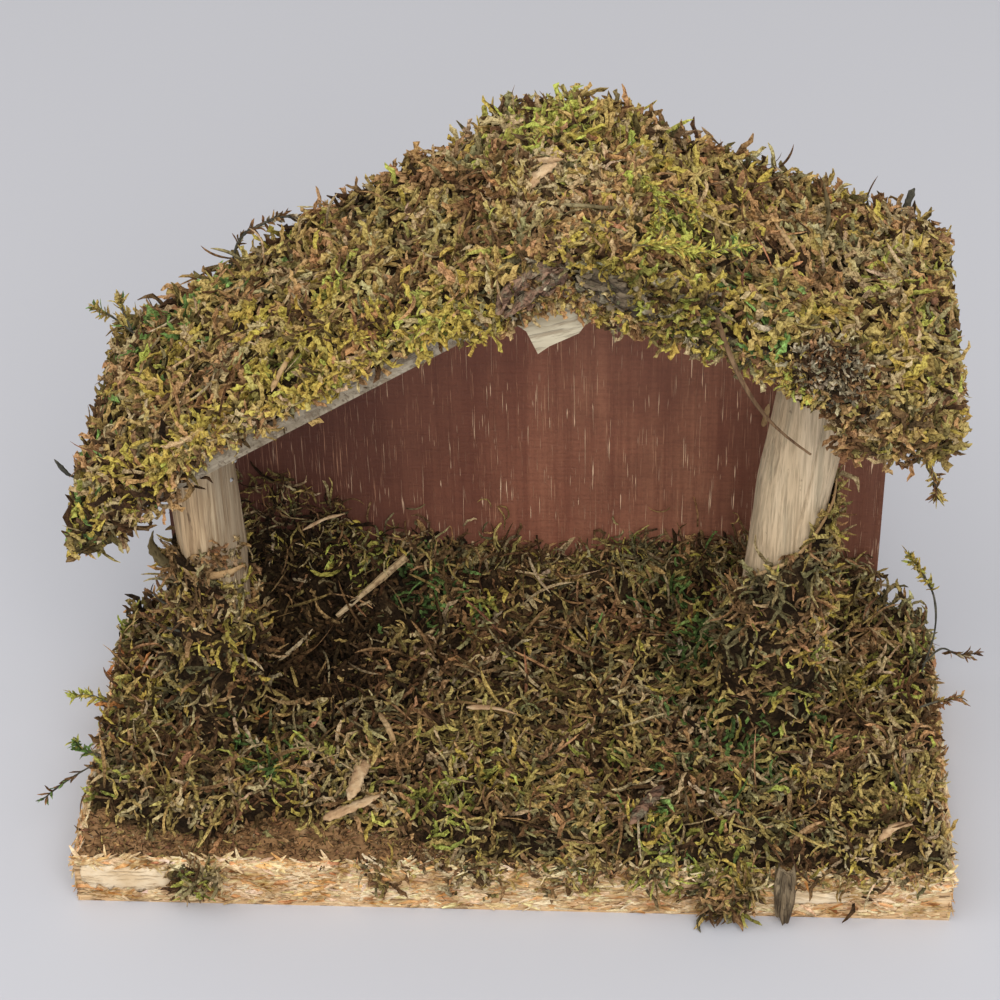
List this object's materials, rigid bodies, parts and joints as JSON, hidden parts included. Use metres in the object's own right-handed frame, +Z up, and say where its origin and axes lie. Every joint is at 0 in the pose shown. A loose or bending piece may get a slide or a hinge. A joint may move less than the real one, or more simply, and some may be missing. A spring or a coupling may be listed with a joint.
{
  "type": "nativity stable",
  "caption": "Open-fronted rustic crib stable: board base, ply back wall, branch posts and a pitched roof, dressed with moss and bark.",
  "frame": {"origin": "middle of the base board's underside, on the surface that the stable stands on", "axes": "+X to the right seen from the open front, +Y to the back wall, +Z up"},
  "size_m": [0.18, 0.0841, 0.1531],
  "materials": {
    "chipboard": "raw",
    "stained_ply": "stained",
    "debarked_branch": "weathered",
    "weathered_board": "weathered",
    "nail_steel": "bright",
    "hot_glue": "satin",
    "red_bark": "rough",
    "grey_bark": "rough",
    "pale_bark": "rough",
    "roof_moss": "dried moss",
    "ground_moss": "dried moss",
    "lichen": "dried lichen",
    "dry_wood": "split",
    "dry_stem": "dry"
  },
  "bodies": {
    "root": {"base_board": "chipboard", "back_wall": "stained_ply", "left_post": "debarked_branch", "right_post": "debarked_branch", "left_roof_panel": "weathered_board", "right_roof_panel": "weathered_board", "base_nails": "nail_steel", "wall_brads": "nail_steel", "roof_brads": "nail_steel", "wall_glue_beads": "hot_glue", "gable_bark_left": "red_bark", "gable_bark_right": "grey_bark", "gable_bark_flake": "pale_bark", "roof_moss_left": "roof_moss", "roof_moss_right": "roof_moss", "ridge_moss": "roof_moss", "ground_moss_front": "ground_moss", "ground_moss_back": "ground_moss", "edge_moss": "ground_moss", "wall_moss": "ground_moss", "left_post_moss": "ground_moss", "right_post_moss": "ground_moss", "roof_edge_lichen": "lichen", "dry_stick": "dry_wood", "long_stem": "dry_stem", "edge_bark_chip": "grey_bark", "wood_chips": "dry_wood"}
  },
  "joints": []
}
